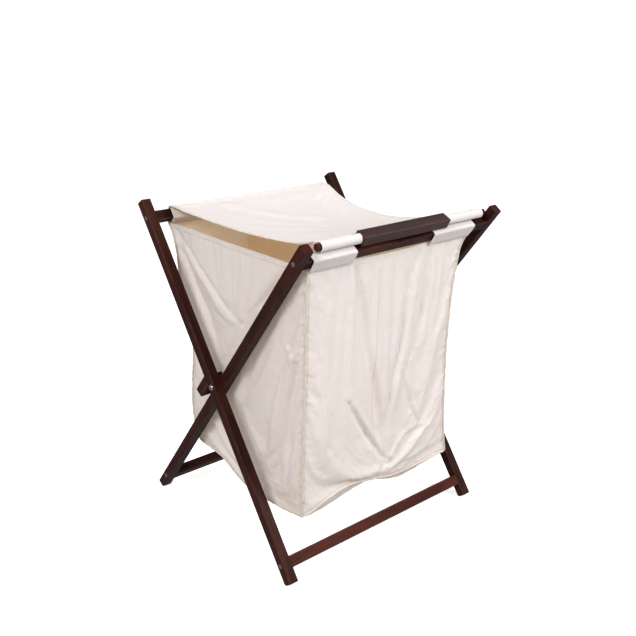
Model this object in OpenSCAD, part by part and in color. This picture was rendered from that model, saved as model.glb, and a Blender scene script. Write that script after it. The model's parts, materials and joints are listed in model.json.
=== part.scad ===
// Folding laundry sorter: two crossed wooden leg frames carry a canvas bag with two compartments,
// and a canvas lid with a wooden lift bar lies over the top.
// Millimetres, +Z up, front faces -Y. The origin is on the floor, at the centre of the footprint.
// Each frame is drawn in its own tilted plane: local X across, local Z up along the legs, and
// local -Y towards the outside of the frame's own face.

/* [Legs] */
// Length of each of the four legs
leg_length = 730; // [600:5:900]
// Thickness of a leg across the object
leg_t = 19; // [15:0.5:26]
// Width of a leg in its side view
leg_w = 18; // [15:0.5:26]
// Lean of each leg away from vertical, in degrees
leg_tilt = 36; // [32:0.5:40]
// Overall width of one leg frame
frame_width = 478; // [390:2:640]
// Radius of the eased long edges of legs, rails and handle
edge_r = 1.6; // [0.5:0.1:3]
// Depth of the flat cut on the lowest corner of each foot
foot_cut = 2.5; // [1:0.1:5]

/* [Rails] */
// Size of a rail along the legs
rail_h = 19; // [14:0.5:24]
// Size of a rail across the legs
rail_w = 18; // [14:0.5:24]
// Distance from a leg's end to the middle of its rail
rail_inset = 34; // [24:1:60]

/* [Stop blocks] */
// Height of a stop block above the leg that carries it
stop_h = 17; // [12:0.5:24]
// Distance along the leg from the pivot to the block's square end
stop_reach = 42; // [30:1:60]
// Clearance between a stop block and the leg that rests on it
stop_gap = 0.2; // [0.1:0.05:1]

/* [Hardware] */
// Diameter of the pivot bolts
bolt_d = 6; // [5:0.5:8]
// Diameter of the pivot bolt's domed head
bolt_head_d = 11; // [9:0.5:14]
// Height of the pivot bolt's domed head
bolt_head_h = 3; // [2:0.25:4]
// Radial clearance of a bolt or screw in its hole
hole_gap = 0.05; // [0.02:0.01:0.1]
// Outer diameter of the washer between two crossing legs
washer_d = 15; // [12:0.5:18]
// Thickness of the washer between two crossing legs
washer_t = 1; // [0.6:0.1:2]
// Width across the flats of the pivot nut
nut_flats = 10; // [9:0.5:13]
// Thickness of the pivot nut
nut_h = 4.5; // [3:0.25:6]
// Diameter of the rail screws
screw_d = 4; // [3:0.25:5]
// Diameter of the rail screws' countersunk heads
screw_head_d = 8; // [6.5:0.25:9]
// Length of the rail screws
screw_length = 45; // [35:1:60]

/* [Lid bar] */
// Diameter of the two round ends of the bar
dowel_d = 12.5; // [10:0.5:15]
// Space between the left round end and the front frame's left leg
dowel_space_left = 22; // [6:1:30]
// Space between the right round end and the front frame's right leg
dowel_space_right = 10; // [6:1:30]
// Depth of a round end's socket in the handle
socket_depth = 30; // [20:1:50]
// Length of the rectangular handle
handle_length = 210; // [150:2:240]
// Front-to-back size of the handle
handle_depth = 21; // [21:0.5:28]
// Height of the handle
handle_h = 18; // [18:0.5:24]
// Lean of the handle towards the front, in degrees
handle_tilt = 26; // [10:1:36]
// How far the bar's axis lies behind the front rail's middle, across the rail
bar_setback = 7; // [4:0.5:9]

/* [Cloth] */
// Thickness of the canvas
cloth_t = 1.2; // [0.8:0.1:2]
// Clearance between the canvas and what it lies against
cloth_gap = 0.4; // [0.3:0.1:0.8]

/* [Bag] */
// Space between the bag's sides and the nearest leg
bag_side_space = 12; // [10:0.5:20]
// How much further right the bag reaches on the front rail
sleeve_extra = 12; // [0:1:20]
// Width of the cut-out in the middle of the bag's front sleeve
bag_cutout = 186; // [120:2:240]
// Height of the bag's floor above the ground, at the front
floor_front_z = 108; // [90:2:160]
// How much higher the floor is at the back
floor_rise = 25; // [0:1:40]
// How far the bottom front edge lies behind the top front edge
front_lean = 5; // [0:1:30]
// How far the bottom back edge lies in front of the top back edge
rear_lean = 74; // [40:1:90]
// Height of the bend in the back panel above the floor
rear_bend_h = 165; // [120:5:220]
// How far the bend in the back panel lies behind the bottom back edge
rear_bend_out = 16; // [5:1:30]
// How far the divider's top edge lies below the sides' top edge
divider_drop = 20; // [5:1:80]
// How far the divider lies to the left of the bag's middle
divider_shift = 15; // [0:1:30]

/* [Lid cloth] */
// Space between the lid's sides and the nearest leg
lid_side_space = 17; // [12:1:40]
// How far the lid sags in its middle
lid_sag = 26; // [5:1:50]
// How much of the left round end shows past the lid's sleeve
dowel_shows_left = 6; // [2:1:20]
// How much of the right round end shows past the lid's sleeve
dowel_shows_right = 10; // [2:1:20]

/* [Hidden] */

wood = "#4a2d28";
worn_wood = "#5b352b";
canvas = "#f1e9e2";
lining = "#cdb084";
metal = "#b9b6b0";

// Smoothness of round faces, and steps in an eased corner and in the lid's curve
round_fn = 48;
corner_steps = 4;
lid_steps = 16;

// The two frames stand side by side, one leg thickness and one washer apart
leg_gap = washer_t + 2 * hole_gap;
stagger = leg_t + leg_gap;
rear_frame_x = -stagger / 2;
front_frame_x = stagger / 2;
half_inner = frame_width / 2 - leg_t;

// Places in a frame's own plane, and the pivot axis
rail_z = leg_length / 2 - rail_inset;
foot_drop = leg_length / 2 * cos(leg_tilt) + leg_w / 2 * sin(leg_tilt);
pivot_z = foot_drop - foot_cut;
leg_reach = leg_length / 2 * sin(leg_tilt) + leg_w / 2 * cos(leg_tilt);

// Cloth layers round the rails and the bar
sleeve_layer = cloth_gap + cloth_t;

// Height of the bar's axis above the sleeve on the front rail: the sleeved round ends lie on it,
// and so does the handle, whose underside leans less than the rail and comes lowest at the back
handle_turn = abs(leg_tilt - handle_tilt);
handle_overhang = max(0, rail_w / 2 + sleeve_layer - bar_setback);
handle_need = handle_h / 2 / cos(handle_turn) + handle_overhang * tan(handle_turn);
bar_rise = max(dowel_d / 2 + sleeve_layer, handle_need) + cloth_gap;
bar_z = rail_z + rail_h / 2 + sleeve_layer + bar_rise;

// The bar's axis and the handle's reach, measured from the pivot axis in the side view
function tilted(y, z) = [y * cos(leg_tilt) - z * sin(leg_tilt),
                         y * sin(leg_tilt) + z * cos(leg_tilt)];
bar_yz = tilted(bar_setback, bar_z);
handle_reach = handle_depth / 2 * cos(handle_tilt) + handle_h / 2 * sin(handle_tilt);
front_reach = max(leg_reach, handle_reach - bar_yz[0]);
pivot_y = (front_reach - leg_reach) / 2;

// The bag's outline in the side view: y and z of its corners
bag_x = rear_frame_x;
bag_half = half_inner - stagger - bag_side_space;
sleeve_low = tilted(-rail_w / 2 - sleeve_layer, rail_z - rail_h / 2 - sleeve_layer);
hem_z = pivot_z + sleeve_low[1] - cloth_gap;
front_top = [pivot_y + sleeve_low[0] + cloth_t, hem_z];
front_low = [front_top[0] + front_lean, floor_front_z];
rear_top = [pivot_y - sleeve_low[0] - cloth_t, hem_z];
rear_low = [rear_top[0] - rear_lean, floor_front_z + floor_rise];
rear_bend = [rear_low[0] + rear_bend_out, rear_low[1] + rear_bend_h];
skin = cloth_t + cloth_gap;

// The lid's two ends in the side view: the rear rail's top and the bar
rear_rail_yz = [-tilted(0, rail_z)[0], tilted(0, rail_z)[1]];
lid_rear_rise = norm([rail_w, rail_h]) / 2 + 2 * sleeve_layer + cloth_gap;
lid_start = [pivot_y + rear_rail_yz[0], pivot_z + rear_rail_yz[1] + lid_rear_rise];
lid_end_gap = max(dowel_d / 2 + sleeve_layer, handle_reach) + cloth_gap;
lid_end = [pivot_y + bar_yz[0] + lid_end_gap, pivot_z + bar_yz[1] + dowel_d / 4];
lid_half = half_inner - stagger / 2 - lid_side_space;

// The ends of the bar's round ends and of the sleeves on them, from the front frame's middle
dowel_left_x = dowel_space_left - half_inner;
dowel_right_x = half_inner - dowel_space_right;
handle_end_x = handle_length / 2 + cloth_gap;

// Corners of a rectangle with eased corners, as one outline
function eased(w, h, r) = [
    for (corner = [[1, 1, 0], [-1, 1, 90], [-1, -1, 180], [1, -1, 270]])
        for (step = [0 : corner_steps])
            let (a = corner[2] + 90 * step / corner_steps)
            [corner[0] * (w / 2 - r) + r * cos(a), corner[1] * (h / 2 - r) + r * sin(a)]];

// A point on the lid's curve: share 0 is at the rear rail, share 1 is at the bar
function lid_point(share, lift) = [
    lid_start[0] + (lid_end[0] - lid_start[0]) * share,
    lid_start[1] + (lid_end[1] - lid_start[1]) * share - 4 * lid_sag * share * (1 - share) + lift];

// Places children in the plane of the rear frame, whose legs run from top rear to bottom front
module rear_plane() {
    translate([rear_frame_x, pivot_y, pivot_z]) rotate([-leg_tilt, 0, 0]) children();
}

// Places children in the plane of the front frame, whose legs run from top front to bottom rear
module front_plane() {
    translate([front_frame_x, pivot_y, pivot_z]) rotate([leg_tilt, 0, 0]) children();
}

// A solid along X from x0 to x1 with the given outline in Y and Z
module along_x(x0, x1) {
    translate([x0, 0, 0]) rotate([90, 0, 90]) linear_extrude(x1 - x0) children();
}

// A round bar along X from x0 to x1
module round_x(x0, x1, d) {
    translate([x0, 0, 0]) rotate([0, 90, 0]) cylinder(h = x1 - x0, d = d, $fn = round_fn);
}

// Everything below the floor
module below_floor() {
    translate([-frame_width, -leg_length, -leg_length]) cube([2 * frame_width, 2 * leg_length, leg_length]);
}

// One countersunk rail screw at the origin: its head's top is at x = 0 and it points along +X
module screw_solid(gap) {
    head_h = (screw_head_d - screw_d) / 2;
    round_x(0, screw_length + gap, screw_d + 2 * gap);
    rotate([0, 90, 0])
        cylinder(h = head_h, d1 = screw_head_d + 2 * gap, d2 = screw_d + 2 * gap, $fn = round_fn);
}

// The four screws of one frame, side is -1 or 1 and level is -1 or 1
module screws_of_frame(gap) {
    for (side = [-1, 1])
        for (level = [-1, 1])
            translate([side * frame_width / 2, 0, level * rail_z])
                mirror([side > 0 ? 1 : 0, 0, 0])
                    screw_solid(gap);
}

// Cross recess in a screw head
module screw_recess() {
    for (side = [-1, 1])
        for (level = [-1, 1])
            translate([side * frame_width / 2, 0, level * rail_z])
                for (turn = [0, 90])
                    rotate([turn, 0, 0])
                        cube([screw_d / 2, screw_d / 5, screw_d], center = true);
}

// One leg in its frame's plane, on the left (side -1) or the right (side 1)
module leg_solid(side) {
    translate([side * (frame_width - leg_t) / 2, 0, -leg_length / 2])
        linear_extrude(leg_length)
            polygon(eased(leg_t, leg_w, edge_r));
}

// The pivot hole through both legs of a side
module pivot_bore() {
    translate([0, pivot_y, pivot_z]) round_x(-frame_width, frame_width, bolt_d + 2 * hole_gap);
}

// One rail in its frame's plane, at the top (level 1) or the bottom (level -1)
module rail_solid(level) {
    translate([0, 0, level * rail_z])
        along_x(-half_inner, half_inner)
            polygon(eased(rail_w, rail_h, edge_r));
}

// A canvas sleeve round a rail, from x0 to x1, lying on a given number of layers
module rail_sleeve(x0, x1, layers) {
    inner = 2 * (layers * sleeve_layer + cloth_gap);
    outer = inner + 2 * cloth_t;
    translate([0, 0, rail_z])
        along_x(x0, x1)
            difference() {
                polygon(eased(rail_w + outer, rail_h + outer, edge_r + outer / 2));
                polygon(eased(rail_w + inner, rail_h + inner, edge_r + inner / 2));
            }
}

module left_outer_leg() {
    color(wood)
        difference() {
            rear_plane() leg_solid(-1);
            rear_plane() screws_of_frame(hole_gap);
            pivot_bore();
            below_floor();
        }
}

module right_inner_leg() {
    color(wood)
        difference() {
            rear_plane() leg_solid(1);
            rear_plane() screws_of_frame(hole_gap);
            pivot_bore();
            below_floor();
        }
}

module left_inner_leg() {
    color(wood)
        difference() {
            front_plane() leg_solid(-1);
            front_plane() screws_of_frame(hole_gap);
            pivot_bore();
            below_floor();
        }
}

module right_outer_leg() {
    color(wood)
        difference() {
            front_plane() leg_solid(1);
            front_plane() screws_of_frame(hole_gap);
            pivot_bore();
            below_floor();
        }
}

module rear_top_rail() {
    color(wood)
        rear_plane()
            difference() {
                rail_solid(1);
                screws_of_frame(hole_gap);
            }
}

module front_bottom_rail() {
    color(worn_wood)
        rear_plane()
            difference() {
                rail_solid(-1);
                screws_of_frame(hole_gap);
            }
}

module front_top_rail() {
    color(wood)
        front_plane()
            difference() {
                rail_solid(1);
                screws_of_frame(hole_gap);
            }
}

module rear_bottom_rail() {
    color(wood)
        front_plane()
            difference() {
                rail_solid(-1);
                screws_of_frame(hole_gap);
            }
}

module rear_frame_screws() {
    color(metal)
        rear_plane()
            difference() {
                screws_of_frame(0);
                screw_recess();
            }
}

module front_frame_screws() {
    color(metal)
        front_plane()
            difference() {
                screws_of_frame(0);
                screw_recess();
            }
}

// A wedge on the back of a front-frame leg, whose slanted end meets the crossing leg's back face.
// The slanted end lies at the height where the crossing leg's face passes.
module stop_block(x0, x1) {
    function meets(y) = (y * cos(2 * leg_tilt) - leg_w / 2 - stop_gap) / sin(2 * leg_tilt);
    low_y = leg_w / 2;
    high_y = leg_w / 2 + stop_h;
    translate([0, pivot_y, pivot_z])
        rotate([leg_tilt, 0, 0])
            along_x(x0, x1)
                polygon([[low_y, -stop_reach], [high_y, -stop_reach],
                         [high_y, meets(high_y)], [low_y, meets(low_y)]]);
}

module left_stop_block() {
    color(wood) stop_block(rear_frame_x - frame_width / 2, front_frame_x - half_inner);
}

module right_stop_block() {
    color(wood) stop_block(rear_frame_x + half_inner, front_frame_x + frame_width / 2);
}

// The outermost and innermost faces of the two crossing legs on one side, mirrored for the right
outer_face = frame_width / 2 + stagger / 2;
inner_face = outer_face - 2 * leg_t - leg_gap;

// A domed bolt from the outer face to past the nut, on side -1 or 1
module pivot_bolt(side) {
    dome_r = (bolt_head_d * bolt_head_d / 4 + bolt_head_h * bolt_head_h) / (2 * bolt_head_h);
    translate([0, pivot_y, pivot_z])
        mirror([side > 0 ? 1 : 0, 0, 0]) {
            round_x(-outer_face - hole_gap, -inner_face + nut_h + 2 * hole_gap, bolt_d);
            translate([-outer_face - hole_gap, 0, 0])
                rotate([0, -90, 0])
                    intersection() {
                        cylinder(h = bolt_head_h, d = bolt_head_d, $fn = round_fn);
                        translate([0, 0, bolt_head_h - dome_r]) sphere(r = dome_r, $fn = round_fn);
                    }
        }
}

// The washer that keeps two crossing legs apart
module pivot_washer(side) {
    translate([side * (outer_face - leg_t - leg_gap + hole_gap), pivot_y, pivot_z])
        mirror([side > 0 ? 0 : 1, 0, 0])
            difference() {
                round_x(0, washer_t, washer_d);
                round_x(-washer_t, 2 * washer_t, bolt_d + 2 * hole_gap);
            }
}

// The hexagonal nut on the inner face
module pivot_nut(side) {
    translate([side * (inner_face - hole_gap), pivot_y, pivot_z])
        mirror([side > 0 ? 1 : 0, 0, 0])
            difference() {
                rotate([0, 90, 0]) cylinder(h = nut_h, d = nut_flats / cos(30), $fn = 6);
                round_x(-nut_h, 2 * nut_h, bolt_d + 2 * hole_gap);
            }
}

module left_pivot_bolt() {
    color(metal) pivot_bolt(-1);
}

module right_pivot_bolt() {
    color(metal) pivot_bolt(1);
}

module left_pivot_washer() {
    color(metal) pivot_washer(-1);
}

module right_pivot_washer() {
    color(metal) pivot_washer(1);
}

module left_pivot_nut() {
    color(metal) pivot_nut(-1);
}

module right_pivot_nut() {
    color(metal) pivot_nut(1);
}

module bag_rear_sleeve() {
    color(canvas) rear_plane() rail_sleeve(-bag_half, bag_half, 0);
}

module lid_rear_sleeve() {
    color(canvas) rear_plane() rail_sleeve(-bag_half, bag_half, 1);
}

module bag_front_left_sleeve() {
    color(canvas)
        front_plane() rail_sleeve(-stagger - bag_half, -stagger - bag_cutout / 2, 0);
}

module bag_front_right_sleeve() {
    color(canvas)
        front_plane() rail_sleeve(bag_cutout / 2 - stagger, bag_half - stagger + sleeve_extra, 0);
}

module bag_front_panel() {
    color(canvas)
        along_x(bag_x - bag_half, bag_x + bag_half)
            polygon([front_top, front_low, front_low + [cloth_t, 0], front_top + [cloth_t, 0]]);
}

module bag_rear_panel() {
    color(canvas)
        along_x(bag_x - bag_half, bag_x + bag_half)
            polygon([rear_top, rear_bend, rear_low, rear_low - [cloth_t, 0],
                     rear_bend - [cloth_t, 0], rear_top - [cloth_t, 0]]);
}

// The shape of a side panel or the divider, with its top edge lowered by a drop
module side_shape(drop) {
    intersection() {
        polygon([front_top + [skin, 0], front_low + [skin, skin], rear_low + [-skin, skin],
                 rear_bend - [skin, 0], rear_top - [skin, 0]]);
        translate([-leg_length, -drop]) square([2 * leg_length, hem_z]);
    }
}

module bag_left_panel() {
    color(canvas) along_x(bag_x - bag_half, bag_x - bag_half + cloth_t) side_shape(0);
}

module bag_right_panel() {
    color(canvas) along_x(bag_x + bag_half - cloth_t, bag_x + bag_half) side_shape(0);
}

module bag_floor() {
    color(lining)
        along_x(bag_x - bag_half, bag_x + bag_half)
            polygon([front_low + [skin, 0], rear_low - [skin, 0],
                     rear_low + [-skin, cloth_t], front_low + [skin, cloth_t]]);
}

module bag_divider() {
    color(lining)
        along_x(bag_x - divider_shift - cloth_t, bag_x - divider_shift)
            side_shape(divider_drop);
}

module lid_cloth() {
    color(canvas)
        along_x(-lid_half, lid_half)
            polygon([for (step = [0 : lid_steps]) lid_point(step / lid_steps, 0),
                     for (step = [lid_steps : -1 : 0]) lid_point(step / lid_steps, cloth_t)]);
}

// Places children on the bar's axis, with X measured from the front frame's middle
module on_bar() {
    translate([front_frame_x, pivot_y + bar_yz[0], pivot_z + bar_yz[1]]) children();
}

// A canvas sleeve round one of the bar's ends
module bar_sleeve(x0, x1) {
    on_bar()
        difference() {
            round_x(x0, x1, dowel_d + 2 * sleeve_layer);
            round_x(x0 - cloth_t, x1 + cloth_t, dowel_d + 2 * cloth_gap);
        }
}

module lid_left_sleeve() {
    color(canvas) bar_sleeve(dowel_left_x + dowel_shows_left, -handle_end_x);
}

module lid_right_sleeve() {
    color(canvas) bar_sleeve(handle_end_x, dowel_right_x - dowel_shows_right);
}

module lid_left_dowel() {
    color(worn_wood)
        on_bar() round_x(dowel_left_x, socket_depth - handle_length / 2, dowel_d);
}

module lid_right_dowel() {
    color(wood)
        on_bar() round_x(handle_length / 2 - socket_depth, dowel_right_x, dowel_d);
}

module lid_handle() {
    socket_d = dowel_d + 2 * hole_gap;
    inner_end = handle_length / 2 - socket_depth - hole_gap;
    color(wood)
        on_bar()
            difference() {
                rotate([handle_tilt, 0, 0])
                    along_x(-handle_length / 2, handle_length / 2)
                        polygon(eased(handle_depth, handle_h, edge_r / 2));
                round_x(inner_end, handle_length, socket_d);
                round_x(-handle_length, -inner_end, socket_d);
            }
}

left_outer_leg();
right_inner_leg();
rear_top_rail();
front_bottom_rail();
rear_frame_screws();
left_inner_leg();
right_outer_leg();
front_top_rail();
rear_bottom_rail();
front_frame_screws();
left_stop_block();
right_stop_block();
left_pivot_bolt();
right_pivot_bolt();
left_pivot_washer();
right_pivot_washer();
left_pivot_nut();
right_pivot_nut();
bag_rear_sleeve();
lid_rear_sleeve();
bag_front_left_sleeve();
bag_front_right_sleeve();
bag_front_panel();
bag_rear_panel();
bag_left_panel();
bag_right_panel();
bag_floor();
bag_divider();
lid_cloth();
lid_left_sleeve();
lid_right_sleeve();
lid_left_dowel();
lid_right_dowel();
lid_handle();
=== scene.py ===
import json
import math
import bpy
import numpy as np
from mathutils import Matrix, Vector, noise


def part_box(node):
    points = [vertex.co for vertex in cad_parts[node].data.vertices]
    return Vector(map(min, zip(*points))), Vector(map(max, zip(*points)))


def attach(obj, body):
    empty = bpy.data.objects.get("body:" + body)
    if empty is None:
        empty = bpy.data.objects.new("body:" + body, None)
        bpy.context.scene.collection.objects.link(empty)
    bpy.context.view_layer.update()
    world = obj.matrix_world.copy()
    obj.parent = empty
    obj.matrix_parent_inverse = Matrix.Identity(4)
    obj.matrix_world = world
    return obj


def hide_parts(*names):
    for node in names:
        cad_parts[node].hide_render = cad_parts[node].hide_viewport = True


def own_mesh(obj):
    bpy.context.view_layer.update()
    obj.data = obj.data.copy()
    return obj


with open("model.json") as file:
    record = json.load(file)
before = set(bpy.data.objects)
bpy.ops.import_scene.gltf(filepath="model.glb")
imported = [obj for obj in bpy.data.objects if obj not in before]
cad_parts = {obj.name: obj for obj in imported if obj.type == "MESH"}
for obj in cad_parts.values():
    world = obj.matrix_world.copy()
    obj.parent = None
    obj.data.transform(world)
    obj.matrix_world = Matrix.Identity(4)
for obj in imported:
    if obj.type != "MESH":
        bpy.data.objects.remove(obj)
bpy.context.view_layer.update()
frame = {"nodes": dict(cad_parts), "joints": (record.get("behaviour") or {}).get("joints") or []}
nodes = frame["nodes"]
mm = 0.001


def middle(node):
    # the middle of a CAD node's box, in millimetres
    low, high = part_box(node)
    return np.array((low + high) / 2) / mm


pivot = np.array(frame["joints"][0]["pos_m"]) / mm
frontRail = middle("front_top_rail")
rearRail = middle("rear_top_rail")
barMiddle = middle("lid_handle")
legTilt = 36  # degrees, each frame's lean
print("frame loaded, pivot at", pivot.round(1))


# camera and studio

cameraSet = {"place": (-1088.4, -1202.8, 954.3), "yaw": 42.19, "pitch": 19.70, "roll": 1.30,
             "lens": 50.99, "sensor": 36}


def makeCamera(s):
    yaw, pitch, roll = (math.radians(s[k]) for k in ("yaw", "pitch", "roll"))
    ahead = Vector((math.sin(yaw) * math.cos(pitch), math.cos(yaw) * math.cos(pitch), -math.sin(pitch)))
    right = Vector((math.cos(yaw), -math.sin(yaw), 0))
    up = right.cross(ahead)
    turnedRight = math.cos(roll) * right + math.sin(roll) * up
    turnedUp = math.cos(roll) * up - math.sin(roll) * right
    data = bpy.data.cameras.new("camera")
    data.lens, data.sensor_width = s["lens"], s["sensor"]
    camera = bpy.data.objects.new("camera", data)
    bpy.context.scene.collection.objects.link(camera)
    turn = Matrix((turnedRight, turnedUp, -ahead)).transposed().to_4x4()
    camera.matrix_world = Matrix.Translation(Vector(s["place"]) * mm) @ turn
    bpy.context.scene.camera = camera


makeCamera(cameraSet)

studio = {"world": 0.46, "worldColour": (1.0, 0.99, 0.985), "floorColour": (0.86, 0.86, 0.86),
          "floorGlow": 0.68, "floorRadius": 3.0,
          # each ring of the floor's raised rim: how much wider, and its rise in metres
          "sweep": [(2.0, 0.0), (1.5, 0.3), (1.3, 0.9), (1.2, 2.0), (1.12, 3.2), (1.05, 4.0)],
          "lights": [  # place, aim, size in metres, power in watts, colour
              ((1.3, -2.7, 2.3), (0, 0, 0.35), 1.0, 84, (1.0, 0.99, 0.985)),
              ((-2.4, -0.9, 2.3), (0, 0, 0.35), 1.0, 60, (1.0, 0.975, 0.945)),
              ((-0.3, 0.9, 3.0), (0, 0, 0.4), 1.2, 6, (1.0, 0.99, 0.985))]}


def deselect():
    bpy.ops.object.select_all(action="DESELECT")


def makeStudio(s):
    world = bpy.data.worlds.new("studio")
    bpy.context.scene.world = world
    world.use_nodes = True
    background = world.node_tree.nodes["Background"]
    background.inputs["Color"].default_value = (*s["worldColour"], 1)
    background.inputs["Strength"].default_value = s["world"]
    for i, (place, aim, size, power, colour) in enumerate(s["lights"]):
        data = bpy.data.lights.new("softLight%d" % i, "AREA")
        data.shape, data.size, data.energy, data.color = "DISK", size, power, colour
        light = bpy.data.objects.new(data.name, data)
        bpy.context.scene.collection.objects.link(light)
        light.location = place
        light.rotation_euler = (Vector(aim) - Vector(place)).to_track_quat("-Z", "Y").to_euler()
    deselect()
    bpy.ops.mesh.primitive_circle_add(vertices=96, radius=s["floorRadius"], fill_type="NGON",
                                      location=(0, 0, -0.0005))
    floor = bpy.context.active_object
    floor.name = floor.data.name = "studioFloor"
    bpy.ops.object.mode_set(mode="EDIT")
    bpy.ops.mesh.select_mode(type="EDGE")
    bpy.ops.mesh.select_all(action="SELECT")
    bpy.ops.mesh.region_to_loop()
    for widen, rise in s["sweep"]:
        bpy.ops.mesh.extrude_edges_move(TRANSFORM_OT_translate={"value": (0, 0, rise)})
        bpy.ops.transform.resize(value=(widen, widen, 1), center_override=(0, 0, 0))
    bpy.ops.object.mode_set(mode="OBJECT")
    bpy.ops.object.shade_smooth()
    pale = bpy.data.materials.new("studioFloor")
    pale.use_nodes = True
    shader = pale.node_tree.nodes["Principled BSDF"].inputs
    shader["Base Color"].default_value = (*s["floorColour"], 1)
    shader["Roughness"].default_value = 0.9
    shader["Emission Color"].default_value = (1, 1, 1, 1)
    shader["Emission Strength"].default_value = s["floorGlow"]
    floor.data.materials.append(pale)
    floor.visible_diffuse = floor.visible_glossy = False  # the white floor doesn't light the piece
    bpy.context.scene.view_settings.view_transform = "Standard"


makeStudio(studio)
print("camera and studio ready")


# materials

class Wire:
    # one output socket, with the maths that materials use on it
    def __init__(self, maker, socket):
        self.maker, self.socket = maker, socket

    def maths(self, operation, *values, clamp=False):
        return self.maker.node("ShaderNodeMath", {"operation": operation, "use_clamp": clamp},
                               dict(enumerate(values)))

    def __add__(self, other):
        return self.maths("ADD", self, other)

    def __sub__(self, other):
        return self.maths("SUBTRACT", self, other)

    def __rsub__(self, other):
        return self.maths("SUBTRACT", other, self)

    def __mul__(self, other):
        return self.maths("MULTIPLY", self, other)

    def sine(self):
        return self.maths("SINE", self)

    def size(self):
        return self.maths("ABSOLUTE", self)

    def larger(self, other):
        return self.maths("MAXIMUM", self, other)

    def clamped(self):
        return self.maths("MULTIPLY", self, 1, clamp=True)

    def over(self, low, high):
        # 0 below low, 1 above high
        return self.maths("MULTIPLY", self - low, 1 / (high - low), clamp=True)


class Finish:
    def __init__(self, name):
        self.material = bpy.data.materials.new(name)
        self.material.use_nodes = True
        self.tree = self.material.node_tree
        self.shader = self.tree.nodes["Principled BSDF"]

    def node(self, kind, settings=None, inputs=None, out=0):
        made = self.tree.nodes.new(kind)
        for key, value in (settings or {}).items():
            setattr(made, key, value)
        for key, value in (inputs or {}).items():
            self.put(made.inputs[key], value)
        return Wire(self, made.outputs[out])

    def put(self, socket, value):
        if isinstance(value, Wire):
            self.tree.links.new(value.socket, socket)
        elif isinstance(value, (tuple, list)) and len(value) == 3 and len(socket.default_value) == 4:
            socket.default_value = (*value, 1)
        else:
            socket.default_value = value

    def set(self, **values):
        for key, value in values.items():
            self.put(self.shader.inputs[key.replace("_", " ")], value)

    def blendColour(self, share, first, second, kind="MIX"):
        return self.node("ShaderNodeMix", {"data_type": "RGBA", "blend_type": kind},
                         {0: share, 6: first, 7: second}, out=2)

    def place(self, turn=(0, 0, 0), shift=(0, 0, 0)):
        spot = self.node("ShaderNodeTexCoord", out="Object")
        return self.node("ShaderNodeMapping", {}, {"Vector": spot, "Rotation": turn, "Location": shift})

    def split(self, vector):
        made = self.tree.nodes.new("ShaderNodeSeparateXYZ")
        self.put(made.inputs[0], vector)
        return [Wire(self, o) for o in made.outputs]

    def join(self, x, y, z):
        return self.node("ShaderNodeCombineXYZ", {}, {0: x, 1: y, 2: z})

    def cloudy(self, vector, scale, detail=2, rough=0.5, distortion=0):
        return self.node("ShaderNodeTexNoise", {}, {"Vector": vector, "Scale": scale, "Detail": detail,
                                                    "Roughness": rough, "Distortion": distortion})

    def bump(self, height, distance, strength=1.0):
        self.put(self.shader.inputs["Normal"], self.node(
            "ShaderNodeBump", {}, {"Height": height, "Distance": distance, "Strength": strength}))


woodSet = {"dark": (0.013, 0.0052, 0.0042), "warm": (0.040, 0.0115, 0.0078), "red": (0.090, 0.022, 0.014),
           "wornAndHighlight": (0.17, 0.075, 0.052), "pore": (0.008, 0.0035, 0.003),
           "wornAndHighlightWidth": 0.0023, "roughness": 0.36}


def woodFinish(name, tilt, centre, half, along, redness=0.0, dowel=False, gloss=0.05):
    # section coordinates: the piece's own middle, with its lean taken out
    m = Finish(name)
    turn = Matrix.Rotation(math.radians(-tilt), 3, "X")
    shift = -(turn @ Vector(centre))
    x, y, z = m.split(m.place((math.radians(-tilt), 0, 0), tuple(shift)))
    a, b, length = (x, y, z) if along == "z" else (y, z, x)
    seed = (sum(ord(c) for c in name) % 97) * 0.137
    grainSpot = m.join(a + seed, b, length * 0.06)
    broad = m.cloudy(m.join(a + seed, b, length * 0.12), 34, 3, 0.6)
    streak = m.cloudy(grainSpot, 420, 3, 0.65, 0.3)
    band = m.cloudy(grainSpot, 110, 2, 0.5, 0.6)
    pore = m.cloudy(m.join(a + seed, b, length * 0.035), 1500, 1, 0.5).over(0.62, 0.72)
    colour = m.blendColour(broad.over(0.38, 0.66), woodSet["dark"], woodSet["warm"])
    redPatch = m.cloudy(m.join(a, b + seed, length * 0.35), 26, 2).over(0.50, 0.74)
    redShare = (redPatch * 0.55 + redness).clamped()
    colour = m.blendColour(redShare, colour, woodSet["red"])
    colour = m.blendColour(streak.over(0.35, 0.75) * 0.42, colour, woodSet["dark"])
    colour = m.blendColour(band.over(0.52, 0.72) * 0.30, colour, woodSet["red"])
    colour = m.blendColour(pore * 0.55, colour, woodSet["pore"])
    rough = streak * 0.18 + woodSet["roughness"] - broad * 0.10
    if not dowel:
        # lighter edges: partly rubbed wear, partly a painted highlight where light catches the eased edges
        toEdge = (half[0] - a.size()).larger(half[1] - b.size())
        wearAndHighlightPatches = m.cloudy(m.join(a, b, length * 0.5 + seed), 95, 4, 0.7).over(0.36, 0.72)
        edge = (1 - toEdge.over(0.0, woodSet["wornAndHighlightWidth"])) * wearAndHighlightPatches
        colour = m.blendColour(edge * 0.62, colour, woodSet["wornAndHighlight"])
        rough = rough - edge * 0.08
    m.set(Base_Color=colour, Roughness=rough.clamped(), Specular_IOR_Level=gloss)
    m.bump(streak * 0.5 - pore * 0.8 + band * 0.4, 0.00018, 0.7)
    return m.material


def steelFinish():
    m = Finish("zincSteel")
    spot = m.node("ShaderNodeTexCoord", out="Object")
    scratch = m.cloudy(spot, 900, 3, 0.7)
    dull = m.cloudy(spot, 120, 2)
    m.set(Base_Color=m.blendColour(dull.over(0.4, 0.7), (0.34, 0.33, 0.32), (0.22, 0.21, 0.20)),
          Metallic=1.0, Roughness=(scratch * 0.22 + 0.18))
    m.bump(scratch, 0.00004, 0.5)
    return m.material


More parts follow.
